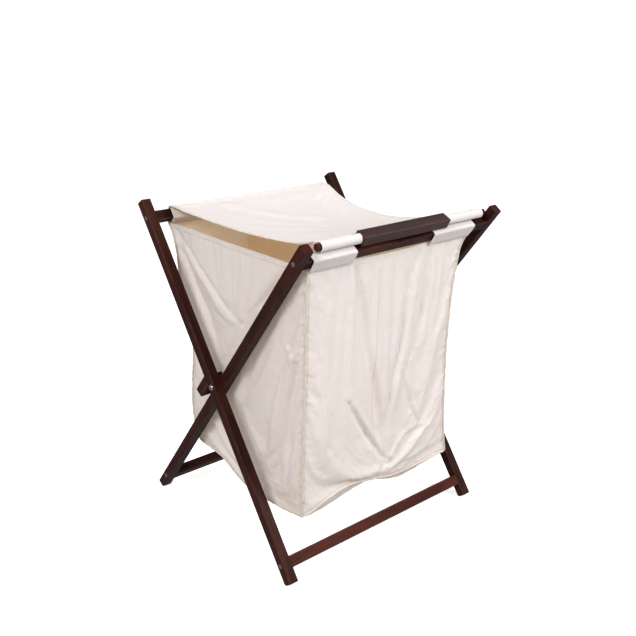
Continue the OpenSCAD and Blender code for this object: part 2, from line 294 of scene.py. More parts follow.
canvasSet = {"thread": 0.00115, "flecks": (0.36, 0.27, 0.18)}


def clothFinish(name, base, warm, shade, through, share, paintedGlow=0.0):
    # the sheet's UV map holds its flat cut in metres, so threads run with the cloth
    m = Finish(name)
    u, v, _ = m.split(m.node("ShaderNodeUVMap", {"uv_map": "UVMap"}))
    spot = m.node("ShaderNodeTexCoord", out="Object")
    turns = math.pi / canvasSet["thread"]
    threads = (u * turns).sine() * (v * turns).sine() * 0.5 + 0.5
    warp = m.cloudy(m.join(u * 620, v * 26, 0), 1, 2, 0.6)
    weft = m.cloudy(m.join(u * 26, v * 620, 7.3), 1, 2, 0.6)
    slub = warp * 0.5 + weft * 0.5
    blotch = m.cloudy(spot, 7, 3, 0.55)
    fine = m.cloudy(m.join(u * 210, v * 210, 3.1), 1, 3, 0.7)
    colour = m.blendColour(blotch.over(0.36, 0.68), base, warm)
    colour = m.blendColour(slub.over(0.38, 0.64) * 0.45, colour, shade)
    colour = m.blendColour(fine.over(0.45, 0.75) * 0.22, colour, shade)
    colour = m.blendColour((1 - threads) * 0.10, colour, shade)
    speck = m.cloudy(m.join(u * 170, v * 170, 11.7), 1, 0, 0.4).over(0.83, 0.86)
    colour = m.blendColour(speck * 0.35, colour, canvasSet["flecks"])
    m.set(Base_Color=colour, Roughness=(slub * 0.12 + 0.80), Sheen_Weight=0.12, Sheen_Roughness=0.5,
          Specular_IOR_Level=0.22)
    # the cloth glows a little: painted light standing in for daylight that comes through the canvas into the
    # bag
    if paintedGlow:
        m.set(Emission_Color=colour, Emission_Strength=paintedGlow)
    m.bump(threads * 0.35 + slub * 0.9 + fine * 0.35, 0.00045, 0.8)
    lit = m.node("ShaderNodeBsdfTranslucent", {}, {"Color": through})  # daylight comes through thin canvas
    both = m.node("ShaderNodeMixShader", {}, {0: share, 1: Wire(m, m.shader.outputs[0]), 2: lit})
    m.put(m.tree.nodes["Material Output"].inputs["Surface"], both)
    return m.material


steel = steelFinish()
canvas = clothFinish("creamCanvas", (0.895, 0.865, 0.865), (0.870, 0.825, 0.810), (0.77, 0.725, 0.705),
                     (0.92, 0.87, 0.82), 0.22)
brightCanvas = clothFinish("brightCanvas", (0.82, 0.795, 0.795), (0.80, 0.765, 0.755), (0.72, 0.685, 0.665),
                           (0.88, 0.84, 0.80), 0.14)
sleeveCanvas = clothFinish("sleeveCanvas", (0.82, 0.785, 0.775), (0.79, 0.745, 0.725), (0.66, 0.615, 0.585),
                           (0.86, 0.80, 0.75), 0.14)
seamCanvas = clothFinish("seamCanvas", (0.82, 0.74, 0.67), (0.78, 0.68, 0.58), (0.66, 0.56, 0.46),
                         (0.86, 0.78, 0.68), 0.1)
# the tan lining glows (painted light) so the inside of the bag reads as lit through the canvas
lining = clothFinish("tanLining", (0.78, 0.655, 0.49), (0.74, 0.60, 0.43), (0.62, 0.49, 0.34),
                     (0.96, 0.88, 0.76), 0.6, paintedGlow=0.19)
thread = Finish("beigeThread")
thread.set(Base_Color=thread.blendColour(
    thread.cloudy(thread.node("ShaderNodeTexCoord", out="Object"), 300, 2).over(0.4, 0.6),
    (0.40, 0.35, 0.32), (0.56, 0.49, 0.43)), Roughness=0.6)
thread = thread.material

rearWood = ["left_outer_leg", "right_inner_leg", "rear_top_rail", "front_bottom_rail"]
frontWood = ["left_inner_leg", "right_outer_leg", "front_top_rail", "rear_bottom_rail",
             "left_stop_block", "right_stop_block"]
# half the width and height of each section, in metres; a round end has no lighter edges (partly wear, partly a
# painted edge highlight)
half = {"leg": (0.0095, 0.009), "rail": (0.009, 0.0095), "block": (0.0095, 0.0085),
        "handle": (0.0105, 0.009), "round": (1, 1)}
handleTilt = 26


def dress(node, material):
    piece = nodes[node]
    piece.data.materials.clear()
    piece.data.materials.append(material)


for name in rearWood + frontWood:
    tilt = -legTilt if name in rearWood else legTilt
    spot = middle(name)
    if "leg" in name:
        spot[1:] = pivot[1:]
    kind = next(k for k in ("leg", "rail", "block") if k in name)
    red = 0.5 if name == "front_bottom_rail" else 0.12 if name == "left_outer_leg" else 0.0
    finish = woodFinish(name + "Wood", tilt, tuple(spot * mm), half[kind],
                        "x" if kind == "rail" else "z", red)
    dress(name, finish)
barSpot = tuple(barMiddle * mm)
dress("lid_handle", woodFinish("handleWood", handleTilt, barSpot, half["handle"], "x", gloss=0.4))
for name, red in (("lid_left_dowel", 0.6), ("lid_right_dowel", 0.1)):
    dress(name, woodFinish(name + "Wood", 0, barSpot, half["round"], "x", red, dowel=True))
for name in nodes:
    if name.endswith(("screws", "bolt", "washer", "nut")):
        dress(name, steel)
print("wood and steel dressed")


# sheets of cloth as grids: rows run up v, columns run along u

def coordinates(piece):
    flat = np.zeros(len(piece.data.vertices) * 3)
    piece.data.vertices.foreach_get("co", flat)
    return flat.reshape(-1, 3)


def newGrid(name, columns, rows, surface, flat):
    # surface has the shape (rows + 1, columns + 1, 3), in millimetres; flat is the cut's size in metres
    deselect()
    bpy.ops.mesh.primitive_grid_add(x_subdivisions=columns, y_subdivisions=rows, size=2, calc_uvs=True)
    piece = bpy.context.active_object
    piece.name = piece.data.name = name
    start = coordinates(piece)
    order = np.lexsort((start[:, 0].round(5), start[:, 1].round(5)))
    placed = np.zeros_like(start)
    placed[order] = surface.reshape(-1, 3) * mm
    piece.data.vertices.foreach_set("co", placed.ravel())
    uv = piece.data.uv_layers[0]
    uv.name = "UVMap"
    values = np.zeros(len(uv.data) * 2)
    uv.data.foreach_get("uv", values)
    uv.data.foreach_set("uv", (values.reshape(-1, 2) * np.array(flat)).ravel())
    piece.data.update()
    return piece, order


def spline(points, shares):
    # a smooth line through the points, by share of its length
    points = np.array(points, float)
    gaps = np.linalg.norm(np.diff(points, axis=0), axis=1)
    knots = np.concatenate([[0], np.cumsum(gaps)]) / gaps.sum()
    slopes = np.gradient(points, knots, axis=0) if len(points) > 2 else np.tile(points[1] - points[0], (2, 1))
    i = np.clip(np.searchsorted(knots, shares, side="right") - 1, 0, len(points) - 2)
    step = (knots[i + 1] - knots[i])[:, None]
    t = ((shares - knots[i])[:, None]) / step
    return ((2 * t**3 - 3 * t**2 + 1) * points[i] + (t**3 - 2 * t**2 + t) * step * slopes[i]
            + (3 * t**2 - 2 * t**3) * points[i + 1] + (t**3 - t**2) * step * slopes[i + 1])


def patch(columns, rows, bottom, top, left, right):
    # a surface between four edge lines, each given as points
    u, v = np.linspace(0, 1, columns + 1), np.linspace(0, 1, rows + 1)
    b, t = spline(bottom, u)[None], spline(top, u)[None]
    l, r = spline(left, v)[:, None], spline(right, v)[:, None]
    uu, vv = u[None, :, None], v[:, None, None]
    corners = ((1 - uu) * (1 - vv) * b[:, :1] + uu * (1 - vv) * b[:, -1:]
               + (1 - uu) * vv * t[:, :1] + uu * vv * t[:, -1:])
    return (1 - vv) * b + vv * t + (1 - uu) * l + uu * r - corners


def cubicRows(old, new):
    # weights that read old samples smoothly at new places
    places = np.linspace(0, old - 1, new)
    i = np.clip(np.floor(places).astype(int), 0, old - 2)
    t = places - i
    weights = np.zeros((new, old))
    parts = (-0.5 * t + t**2 - 0.5 * t**3, 1 - 2.5 * t**2 + 1.5 * t**3,
             0.5 * t + 2 * t**2 - 1.5 * t**3, -0.5 * t**2 + 0.5 * t**3)
    for k, part in zip((-1, 0, 1, 2), parts):
        np.add.at(weights, (np.arange(new), np.clip(i + k, 0, old - 1)), part)
    return weights


def finer(surface, columns, rows):
    across, up = cubicRows(surface.shape[1], columns + 1), cubicRows(surface.shape[0], rows + 1)
    return np.einsum("ij,jkc,lk->ilc", up, surface, across)


def normalsOf(surface):
    alongU = np.gradient(surface, axis=1)
    alongV = np.gradient(surface, axis=0)
    n = np.cross(alongU, alongV)
    return n / np.maximum(np.linalg.norm(n, axis=2, keepdims=True), 1e-9)


def cloud(points, size, seed):
    # smooth random heights, about -1 to 1, for features of a given size in millimetres
    flat = points.reshape(-1, 3) / size
    heights = [noise.noise(Vector((p[0] + seed * 13.7, p[1] - seed * 5.1, p[2] + seed * 3.3))) for p in flat]
    return np.array(heights).reshape(points.shape[:2])


def fadeEdges(shape, width):
    # 0 at the grid's edge, 1 from `width` cells in
    rows, columns = shape
    v = np.minimum(np.arange(rows), np.arange(rows)[::-1])[:, None]
    u = np.minimum(np.arange(columns), np.arange(columns)[::-1])[None]
    return np.clip(np.minimum(u, v) / width, 0, 1)


def toLine(places, line):
    # distance to a line of points, signed by side, and the share of the line's length there
    line = np.array(line, float)
    best, side, share = np.full(places.shape[:2], 1e9), np.zeros(places.shape[:2]), np.zeros(places.shape[:2])
    gaps = np.linalg.norm(np.diff(line, axis=0), axis=1)
    done = 0
    for start, end, gap in zip(line[:-1], line[1:], gaps):
        d = end - start
        t = np.clip(((places - start) @ d) / gap**2, 0, 1)
        off = places - (start + t[..., None] * d)
        far = np.linalg.norm(off, axis=2)
        near = far < best
        best = np.where(near, far, best)
        side = np.where(near, np.sign(d[0] * off[..., 1] - d[1] * off[..., 0]), side)
        share = np.where(near, (done + t * gap) / gaps.sum(), share)
        done += gap
    return best * side, share


def folds(places, lines):
    # each line: points, width, height, and the depth of the hollow beside it
    total = np.zeros(places.shape[:2])
    for points, width, height, hollow in lines:
        if len(points) > 2:
            points = spline(points, np.linspace(0, 1, 4 * len(points)))
        d, share = toLine(places, points)
        taper = np.sin(math.pi * np.clip(share * 0.86 + 0.07, 0, 1)) ** 0.6
        steep = np.where(d > 0, 0.5, 1.15) * width  # one side of a fold is steeper
        ridge = height * np.exp(-(d / steep) ** 2)
        valley = hollow * np.exp(-((d - 1.5 * width) / width) ** 2)
        total += (ridge - valley) * taper
    return total


drapeSet = {"frames": 18, "mass": 0.12, "tension": 18, "shear": 8, "bending": 0.18, "damping": 6,
            "gravity": 0.45, "quality": 5}


def startDrape(name, surface, held, slack=0.0):
    # a coarse copy of the sheet with Cloth on it; held is 1 where the cloth is sewn or tied
    rows, columns = surface.shape[0] - 1, surface.shape[1] - 1
    piece, order = newGrid(name + "Drape", columns, rows, surface, (1, 1))
    weights = np.zeros(len(order))
    weights[order] = held.ravel()
    group = piece.vertex_groups.new(name="held")
    for i in np.flatnonzero(weights > 0):
        group.add([int(i)], float(weights[i]), "REPLACE")
    settings = piece.modifiers.new("drape", "CLOTH").settings
    settings.vertex_group_mass = "held"
    settings.quality, settings.mass = drapeSet["quality"], drapeSet["mass"]
    settings.tension_stiffness = settings.compression_stiffness = drapeSet["tension"]
    settings.shear_stiffness, settings.bending_stiffness = drapeSet["shear"], drapeSet["bending"]
    settings.tension_damping = settings.compression_damping = drapeSet["damping"]
    settings.air_damping = 4
    settings.effector_weights.gravity = drapeSet["gravity"]
    settings.shrink_min = -slack
    cache = piece.modifiers["drape"].point_cache
    cache.frame_start, cache.frame_end = 1, drapeSet["frames"]
    return piece, order


def runDrape(jobs):
    # jobs: name -> (surface, held, slack, cap); returns the draped surfaces
    started = {name: startDrape(name, surface, held, slack)
               for name, (surface, held, slack, cap) in jobs.items()}
    scene = bpy.context.scene
    for step in range(1, drapeSet["frames"] + 1):
        scene.frame_set(step)
    result = {}
    for name, (piece, order) in started.items():
        deselect()
        piece.select_set(True)
        bpy.context.view_layer.objects.active = piece
        bpy.ops.object.modifier_apply(modifier="drape")
        surface, cap = jobs[name][0], jobs[name][3]
        moved = (coordinates(piece)[order] / mm).reshape(surface.shape) - surface
        far = np.linalg.norm(moved, axis=2, keepdims=True)
        result[name] = surface + moved * np.minimum(1, cap / np.maximum(far, 1e-6))
        print("  draped %s, moved up to %.1f mm" % (name, far.max()))
        bpy.data.objects.remove(piece)
    scene.frame_set(1)
    return result


def applyAll(piece):
    deselect()
    piece.select_set(True)
    bpy.context.view_layer.objects.active = piece
    for modifier in list(piece.modifiers):
        bpy.ops.object.modifier_apply(modifier=modifier.name)


def thicken(piece, thickness, offset, inner=None):
    solid = piece.modifiers.new("thickness", "SOLIDIFY")
    solid.thickness, solid.offset = thickness * mm, offset
    solid.use_even_offset = False
    if inner is not None:
        solid.material_offset = 1
        solid.material_offset_rim = 0
    applyAll(piece)
    deselect()
    piece.select_set(True)
    bpy.context.view_layer.objects.active = piece
    bpy.ops.object.shade_smooth_by_angle(angle=math.radians(50))


def settle(piece, body, replaced=(), flattens=None):
    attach(piece, body)
    if replaced:
        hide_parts(*replaced)
    if flattens:
        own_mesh(piece)


def finishSheet(name, surface, flat, body, materials, replaced,
                thickness=1.1, offset=-1, flattens=None):
    rows, columns = surface.shape[0] - 1, surface.shape[1] - 1
    piece, _ = newGrid(name, columns, rows, surface, flat)
    for material in materials:
        piece.data.materials.append(material)
    thicken(piece, thickness, offset, inner=materials[1] if len(materials) > 1 else None)
    settle(piece, body, replaced, flattens)
    return piece


# thread, seams and stitches

stitchSet = {"length": 2.5, "pitch": 3.5, "width": 0.75, "lift": 0.25}


def stitchTemplate():
    deselect()
    bpy.ops.mesh.primitive_uv_sphere_add(segments=6, ring_count=4, radius=0.5)
    ball = bpy.context.active_object
    points = coordinates(ball)
    faces = [tuple(p.vertices) for p in ball.data.polygons]
    bpy.data.objects.remove(ball)
    return points, faces


stitchPoints, stitchFaces = stitchTemplate()


def stitches(name, lines, body, flattens=None):
    # lines: (points, normals) pairs in millimetres, already dense
    points, faces = [], []
    for line, normals in lines:
        gaps = np.linalg.norm(np.diff(line, axis=0), axis=1)
        along = np.concatenate([[0], np.cumsum(gaps)])
        for place in np.arange(stitchSet["pitch"] / 2, along[-1], stitchSet["pitch"]):
            i = min(int(np.searchsorted(along, place)), len(line) - 1)
            spot = np.array([np.interp(place, along, line[:, k]) for k in range(3)])
            up = normals[i] / np.linalg.norm(normals[i])
            ahead = line[min(i + 1, len(line) - 1)] - line[max(i - 1, 0)]
            ahead = ahead / max(np.linalg.norm(ahead), 1e-9)
            side = np.cross(up, ahead)
            shape = stitchPoints * [stitchSet["width"], stitchSet["width"], stitchSet["length"]]
            first = len(points)
            points.extend(spot + up * stitchSet["lift"] + shape[:, :1] * side + shape[:, 1:2] * up * 0.7
                          + shape[:, 2:] * ahead)
            faces.extend(tuple(first + k for k in face) for face in stitchFaces)
    mesh = bpy.data.meshes.new(name)
    mesh.from_pydata([tuple(p * mm) for p in points], [], faces)
    piece = bpy.data.objects.new(name, mesh)
    bpy.context.scene.collection.objects.link(piece)
    piece.data.materials.append(thread)
    piece.data.polygons.foreach_set("use_smooth", [True] * len(faces))
    settle(piece, body, flattens=flattens)
    return piece


def bead(name, line, radius, body, flattens, material):
    # a sewn cord of cloth along a seam
    curve = bpy.data.curves.new(name, "CURVE")
    curve.dimensions, curve.bevel_depth, curve.bevel_resolution = "3D", radius * mm, 2
    curve.use_fill_caps = True
    track = curve.splines.new("POLY")
    track.points.add(len(line) - 1)
    for point, place in zip(track.points, line):
        point.co = (*(place * mm), 1)
    piece = bpy.data.objects.new(name, curve)
    bpy.context.scene.collection.objects.link(piece)
    deselect()
    piece.select_set(True)
    bpy.context.view_layer.objects.active = piece
    bpy.ops.object.convert(target="MESH")
    piece = bpy.context.active_object
    piece.name = piece.data.name = name
    bpy.ops.object.shade_smooth()
    if not piece.data.uv_layers:
        layer = piece.data.uv_layers.new(name="UVMap")
        places = coordinates(piece)
        corners = np.zeros(len(piece.data.loops), int)
        piece.data.loops.foreach_get("vertex_index", corners)
        layer.data.foreach_set("uv", (places[corners][:, [0, 2]] + places[corners][:, [1, 1]] * 0.7).ravel())
    piece.data.materials.append(material)
    settle(piece, body, flattens=flattens)
    return piece


def onSheet(surface, u, v):
    # points and outward directions on a finished grid, at shares u and v
    normals = normalsOf(surface)
    rows, columns = surface.shape[0] - 1, surface.shape[1] - 1
    u, v = np.broadcast_arrays(np.asarray(u, float), np.asarray(v, float))
    x, y = np.clip(u, 0, 1) * columns, np.clip(v, 0, 1) * rows
    i, j = np.minimum(x.astype(int), columns - 1), np.minimum(y.astype(int), rows - 1)
    a, b = (x - i)[:, None], (y - j)[:, None]
    mix = lambda g: ((1 - a) * (1 - b) * g[j, i] + a * (1 - b) * g[j, i + 1]
                     + (1 - a) * b * g[j + 1, i] + a * b * g[j + 1, i + 1])
    return mix(surface), mix(normals)


# the bag

# cell is the grid's step while it drapes and fine after it; cutout runs between the front sleeves
bagSet = {"left": -199, "right": 172, "cell": 5, "fine": 2.6, "cutout": (-105, 81), "sag": 34}
frontLeftSeam = [(-199, -190.4, 108), (-199.5, -192, 220), (-198.5, -192.5, 360), (-199, -193.5, 480),
                 (-199, -194.6, 551.5)]
frontRightSeam = [(174, -190.4, 110), (164, -191.5, 166), (158, -192, 236), (154, -192.5, 369),
                  (163, -193.5, 490), (170, -194, 527), (184, -194.6, 551.5)]
rearLeftSeam = [(-195, 115, 133), (-195, 134, 176), (-195, 136, 252), (-195, 131, 315), (-196, 169, 455),
                (-197, 175, 504), (-198, 183, 530), (-199, 194.6, 551.5)]
rearRightSeam = [(170, 115, 133), (168, 133, 176), (162, 136, 252), (157, 132, 315), (160, 168, 455),
                 (166, 175, 504), (171, 183, 530), (178, 194.6, 551.5)]
frontBottom = [(-199, -190.4, 108), (-180, -189.5, 107.5), (-149, -188, 115), (-84, -187, 125),
               (-33, -188, 119), (21, -189, 108), (100, -189, 106), (174, -190.4, 110)]
rearBottom = [(-195, 115, 133), (-90, 117, 128), (-20, 114, 134), (80, 117, 127), (170, 115, 133)]
leftBottom = [(-195, 115, 133), (-198, 33, 127), (-199, -26, 104), (-200, -103, 101), (-199, -190.4, 108)]
rightBottom = [(174, -190.4, 110), (173, -100, 106), (172, -30, 110), (171, 33, 124), (170, 115, 133)]
leftHem = [(-199, 194.6, 551.5), (-199.5, 100, 552.5), (-200, 0, 552), (-199.5, -100, 552.5),
           (-199, -194.6, 551.5)]
rightHem = [(184, -194.6, 551.5), (174, -110, 547), (169, 0, 545), (171, 110, 547), (178, 194.6, 551.5)]
frontTop = [(-199, -194.6, 551.5), (-105, -194.6, 551.5), (-60, -194.8, 549.6), (-12, -195, 549),
            (40, -194.8, 549.6), (81, -194.6, 551.5), (184, -194.6, 551.5)]
rearTop = [(178, 194.6, 551.5), (60, 194.6, 551), (-80, 194.6, 551), (-199, 194.6, 551.5)]

# folds: points, width, height (outwards), hollow beside it
frontFolds = [
    ([(-98, 540), (-72, 473), (-54, 383), (-29, 287), (-8, 186), (6, 140)], 11, -6.5, -4.5),
    ([(62, 535), (47, 500), (37, 440), (28, 367), (9, 295), (0, 230), (6, 150)], 9, -8.0, -3.0),
    ([(-95, 293), (-49, 223), (-1, 153)], 6, -5.5, -4.0),
    ([(34, 318), (64, 241), (92, 188)], 9, -5.5, 2.5),
    ([(20, 138), (48, 178), (104, 186)], 7, -4.5, -2.5),
    ([(-144, 340), (-150, 260), (-158, 160)], 14, 4.0, 2.0),
    ([(-170, 500), (-168, 350), (-165, 200)], 9, -2.5, 0.0),
    ([(-160, 536), (-120, 542), (-104, 546)], 6, 1.5, 1.0),
    ([(-104, 549), (-96, 500), (-92, 450)], 6, 2.6, 1.8),
    ([(86, 549), (88, 500), (82, 430), (60, 350)], 10, -5.0, -3.5),
    ([(122, 540), (118, 470), (110, 400)], 10, 3.2, 1.5),
    ([(150, 230), (120, 190), (70, 165)], 8, 3.0, 2.0),
    ([(140, 420), (110, 330), (104, 250)], 12, 3.0, 1.5)]
leftFolds = [
    ([(170, 530), (134, 468), (88, 418), (54, 361), (40, 320)], 10, -7.5, -4.5),
    ([(176, 540), (110, 500), (60, 462), (20, 430), (-20, 415)], 9, -5.5, -4.5),
    ([(150, 490), (120, 430), (104, 380)], 7, -4.0, -2.5),
    ([(0, 492), (-2, 446)], 4, 2.0, 1.6),
    ([(-150, 540), (-89, 478), (-37, 431)], 11, -4.0, -4.0),
    ([(-176, 480), (-149, 412), (-184, 398)], 6, -2.5, -2.0),
    ([(-158, 400), (-132, 349), (-113, 272), (-100, 165)], 12, 7.0, 4.5),
    ([(-112, 440), (-42, 333), (-12, 220)], 16, -7.0, -4.5),
    ([(-184, 440), (-172, 380), (-150, 300), (-146, 230), (-150, 150)], 8, -5.0, -4.0),
    ([(-8, 278), (-68, 207), (-120, 125)], 12, 5.5, 4.5),
    ([(-178, 300), (-166, 218), (-176, 140)], 6, 3.5, 2.5),
    ([(70, 350), (44, 300), (20, 200)], 10, -4.0, -3.0),
    ([(100, 230), (40, 170), (-30, 130)], 10, 4.0, 3.0)]
rearFolds = [
    ([(-150, 530), (-110, 430), (-90, 300)], 12, -6, -4), ([(150, 530), (100, 420), (70, 290)], 12, -6, -4),
    ([(-40, 540), (-30, 400), (-10, 250), (0, 150)], 14, -5, -4),
    ([(60, 260), (110, 190), (150, 150)], 9, 4, 3),
    ([(-60, 250), (-110, 190), (-160, 150)], 9, 4, 3)]
rightFolds = [(([(-y, z) for y, z in line]), width, height * 0.8, hollow * 0.8)
              for line, width, height, hollow in leftFolds[1:10]]


def cells(length, size):
    return max(4, int(round(length / size)))


def bagPanel(name, edges, lines, reads, slackWaves, seed):
    # the starting surface: sewn edges as they hang, with soft folds drawn in
    wide = 390 if name in ("left", "right") else 380
    columns, rows = cells(wide, bagSet["cell"]), cells(440, bagSet["cell"])
    surface = patch(columns, rows, *edges)
    places = surface[..., reads]
    height = folds(places, lines)
    height += slackWaves * cloud(surface, 70, seed) + 0.45 * slackWaves * cloud(surface, 33, seed + 3)
    height *= fadeEdges(height.shape, 4)
    return surface + normalsOf(surface) * height[..., None]


def rimOf(surface, cellsIn=1):
    held = np.zeros(surface.shape[:2])
    held[:cellsIn], held[-cellsIn:], held[:, :cellsIn], held[:, -cellsIn:] = 1, 1, 1, 1
    return held


frontStart = bagPanel("front", (frontBottom, frontTop, frontLeftSeam, frontRightSeam), frontFolds,
                      [0, 2], 2.2, 1)
leftStart = bagPanel("left", (leftBottom, leftHem, rearLeftSeam, frontLeftSeam), leftFolds, [1, 2], 2.4, 2)
rearStart = bagPanel("rear", (rearBottom[::-1], rearTop, rearRightSeam, rearLeftSeam), rearFolds,
                     [0, 2], 2.6, 3)
rightStart = bagPanel("right", (rightBottom, rightHem, frontRightSeam, rearRightSeam),
                      rightFolds, [1, 2], 2.4, 4)
dividerX = middle("bag_divider")[0]


def floorStart():
    surface = patch(cells(370, bagSet["cell"]), cells(305, bagSet["cell"]), rearBottom, frontBottom,
                    leftBottom, rightBottom[::-1])
    x = surface[..., 0]
    share = np.where(x < dividerX, (x - bagSet["left"]) / (dividerX - bagSet["left"]),
                     (x - dividerX) / (bagSet["right"] - dividerX))
    # one hanging lobe on each side of the divider, the left one deeper
    lobes = np.sin(math.pi * np.clip(share, 0, 1)) ** 0.8 * np.where(x < dividerX, 1.4, 1.0)
    v = np.linspace(0, 1, surface.shape[0])[:, None]
    uneven = 3.5 * cloud(surface, 60, 6) * fadeEdges(x.shape, 5)
    surface[..., 2] -= bagSet["sag"] * lobes * np.sin(math.pi * v) ** 0.35 + uneven
    return surface


floorSurface = floorStart()

lidCorners = {"frontLeft": (-181, barMiddle[1] + 13.6, barMiddle[2] + 4.6), "rearLeft": (-203, 197, 582.0),
              "frontRight": (211, barMiddle[1] + 13.6, barMiddle[2] + 4.6), "rearRight": (180, 197, 582.0)}
lidLeft = [lidCorners["frontLeft"], (-183, -150, 582.5), (-185, -110, 578.5), (-189, -43, 575.5),
           (-195, 61, 577), (-200, 140, 581.5), (-203, 186, 584.6), lidCorners["rearLeft"]]
lidRight = [lidCorners["frontRight"], (206, -150, 576), (200, -90, 559.5), (195, -50, 552.5),
            (191, -5, 546.5), (188, 40, 546.5), (185, 80, 550), (182, 135, 563), (180, 186, 583.0),
            lidCorners["rearRight"]]
lidFolds = [([(-120, 190), (-60, 110), (40, 40), (130, 20)], 16, -2.0, -1.6),
            ([(-140, 60), (-60, 0), (60, -40), (150, -40)], 18, 2.0, 1.4),
            ([(160, 180), (120, 120), (110, 60)], 12, -2.4, -2.0),
            ([(-150, -60), (-90, -110), (-40, -170)], 14, 2.2, 1.6),
            ([(110, -180), (120, -120), (150, -70)], 13, -2.6, -2.0),
            ([(0, 180), (20, 60), (10, -80), (30, -180)], 20, -1.6, -1.4)]


def lidStart():
    columns, rows = cells(385, bagSet["cell"]), cells(390, bagSet["cell"])
    front = [lidCorners["frontLeft"], lidCorners["frontRight"]]
    rear = [lidCorners["rearLeft"], lidCorners["rearRight"]]
    surface = patch(columns, rows, front, rear, lidLeft, lidRight)
    height = folds(surface[..., :2], lidFolds) + 1.1 * cloud(surface, 80, 8) + 0.5 * cloud(surface, 30, 9)
    return surface + normalsOf(surface) * (height * fadeEdges(height.shape, 5))[..., None]


lidSurface = lidStart()
print("cloth shaped, draping")
floorHeld = rimOf(floorSurface)
floorHeld[:, int(np.argmin(abs(floorSurface[0, :, 0] - dividerX)))] = 1
draped = runDrape({
    "front": (frontStart, rimOf(frontStart), 0.004, 9), "left": (leftStart, rimOf(leftStart), 0.004, 9),
    "rear": (rearStart, rimOf(rearStart), 0.006, 10), "right": (rightStart, rimOf(rightStart), 0.005, 9),
    "floor": (floorSurface, floorHeld, 0.01, 12), "lid": (lidSurface, rimOf(lidSurface), 0.002, 8)})
print("cloth draped")


def detail(name, surface, seed, seams, hems=(), crumple=0.5):
    # finer grid, with puckers at the seams, small wrinkles and turned hems
    size = [np.linalg.norm(np.diff(surface[surface.shape[0] // 2], axis=0), axis=1).sum(),
            np.linalg.norm(np.diff(surface[:, surface.shape[1] // 2], axis=0), axis=1).sum()]
    fine = finer(surface, cells(size[0], bagSet["fine"]), cells(size[1], bagSet["fine"]))
    rows, columns = fine.shape[:2]
    v, u = np.linspace(0, size[1], rows)[:, None], np.linspace(0, size[0], columns)[None]
    away = {"left": u + 0 * v, "right": size[0] - u + 0 * v, "bottom": v + 0 * u, "top": size[1] - v + 0 * u}
    height = crumple * cloud(fine, 17, seed) + 0.5 * crumple * cloud(fine, 8.5, seed + 20)
    rise = 1 - 0.75 * np.exp(-np.minimum.reduce([away[k] for k in away]) / 4)
    height *= rise
    for side, depth in seams:
        d = away[side]
        run = v if side in ("left", "right") else u
        ridges = np.stack([run + 0.55 * d, 0.22 * d, np.full_like(d, seed * 9.0)], axis=2)
        pucker = cloud(ridges, 7.5, seed + 31) + 0.7 * cloud(ridges, 15, seed + 32)
        height += depth * pucker * np.exp(-d / 17) * np.clip(d / 2.5, 0, 1)
    for side, width, lift in hems:
        d = away[side]
        height += lift * np.clip((width - d) / 1.2, 0, 1)
        run = (u if side in ("top", "bottom") else v) + 0 * d
        ripples = np.stack([run, 3 * d, np.full_like(d, 4.0 * seed)], axis=2)
        height += 0.35 * cloud(ripples, 9, seed + 41) * (d < width + 3)
    return fine + normalsOf(fine) * height[..., None], size


front, frontSize = detail("front", draped["front"], 1, (("left", 2.6), ("right", 2.2), ("bottom", 1.4)),
                          (("top", 9, 0.5),), 0.5)
left, leftSize = detail("left", draped["left"], 2, (("right", 3.0), ("left", 1.6), ("bottom", 1.4)),
                        (("top", 10, 0.7),), 0.55)
rear, rearSize = detail("rear", draped["rear"], 3, (("left", 1.4), ("right", 1.4), ("bottom", 0.9)), (), 0.5)
right, rightSize = detail("right", draped["right"], 4, (("right", 1.4), ("left", 1.4), ("bottom", 0.9)),
                          (("top", 10, 0.7),), 0.55)
floorCloth, _ = detail("floor", draped["floor"], 5, (("left", 0.8), ("right", 0.8), ("top", 0.8)), (), 0.7)
lid, lidSize = detail("lid", draped["lid"], 6, (),
                      (("left", 11, 0.7), ("right", 11, 0.7), ("bottom", 12, 0.6)), 0.28)


def dividerSurface():
    # sewn down the middle of the front and rear panels, and lying on the floor's middle seam
    rows = 90
    z = np.linspace(0, 1, rows + 1)
    fi = int(np.argmin(abs(front[front.shape[0] // 2, :, 0] - dividerX)))
    ri = int(np.argmin(abs(rear[rear.shape[0] // 2, :, 0] - dividerX)))
    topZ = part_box("bag_divider")[1][2] / mm
    frontLine, rearLine = front[:, fi], rear[:, ri]
    zf = frontLine[0, 2] + 2 + z * (topZ - frontLine[0, 2] - 2)
    zr = rearLine[0, 2] + 2 + z * (topZ - rearLine[0, 2] - 2)
    yf = np.interp(zf, frontLine[:, 2], frontLine[:, 1]) + 1.6
    yr = np.interp(zr, rearLine[:, 2], rearLine[:, 1]) - 1.6
    columns = 78
    share = np.linspace(0, 1, columns + 1)[None]
    y = yr[:, None] * (1 - share) + yf[:, None] * share
    height = zr[:, None] * (1 - share) + zf[:, None] * share - 16 * np.sin(math.pi * share) * z[:, None] ** 3
    surface = np.stack([np.full_like(y, dividerX), y, height], axis=2)
    wave = 6 * cloud(surface, 90, 12) + 2.5 * cloud(surface, 38, 13) + 0.7 * cloud(surface, 17, 14)
    surface[..., 0] += wave * np.sin(math.pi * share) ** 0.5
    return surface


divider = dividerSurface()

seamRadius = 1.9


def beadAlong(name, surface, side, outward, waver, seed):
    line = {"left": surface[:, 0], "right": surface[:, -1], "bottom": surface[0]}[side]
    wiggle = np.array([[noise.noise(Vector((s * 0.14, seed, k * 9.1))) for k in range(3)] for s in
                       np.arange(len(line)) * bagSet["fine"]])
    line = line + np.array(outward) + wiggle * waver
    return bead(name, line, seamRadius, "bag", "bag", seamCanvas)


